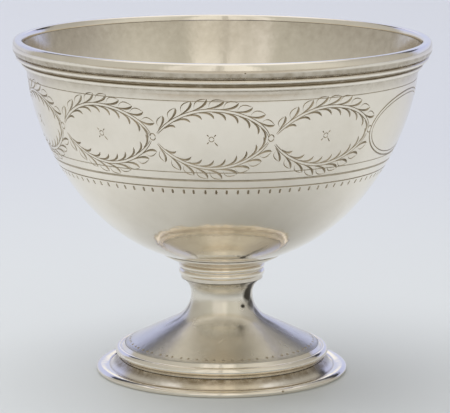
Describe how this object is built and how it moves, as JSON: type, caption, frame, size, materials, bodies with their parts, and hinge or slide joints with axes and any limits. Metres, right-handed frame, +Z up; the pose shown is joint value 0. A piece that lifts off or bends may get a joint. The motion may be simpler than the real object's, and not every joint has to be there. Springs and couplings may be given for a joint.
{
  "type": "salt cellar",
  "caption": "Footed open salt cellar in silver: a deep round bowl with a reeded rim and an engraved leaf frieze, on a waisted stem and a stepped round foot.",
  "frame": {"origin": "middle of the underside of the foot, on the table", "axes": "+Z up along the axis of the bowl; the object is round, so +X and +Y are free, and the picture's view looks along +Y"},
  "size_m": [0.064, 0.064, 0.0518],
  "materials": {
    "polished_silver": "polished sterling silver, lightly worn, with dark tarnish in the engraving",
    "drawn_silver": "drawn and soldered silver wire, polished, tarnished in its grooves"
  },
  "bodies": {
    "root": {"bowl": "polished_silver", "lip_wire": "polished_silver", "upper_reed_wire": "drawn_silver", "lower_reed_wire": "drawn_silver", "collar": "drawn_silver", "upper_collar_ring": "drawn_silver", "lower_collar_ring": "drawn_silver", "pedestal": "polished_silver", "foot_step": "polished_silver", "base_ring": "polished_silver"}
  },
  "joints": []
}
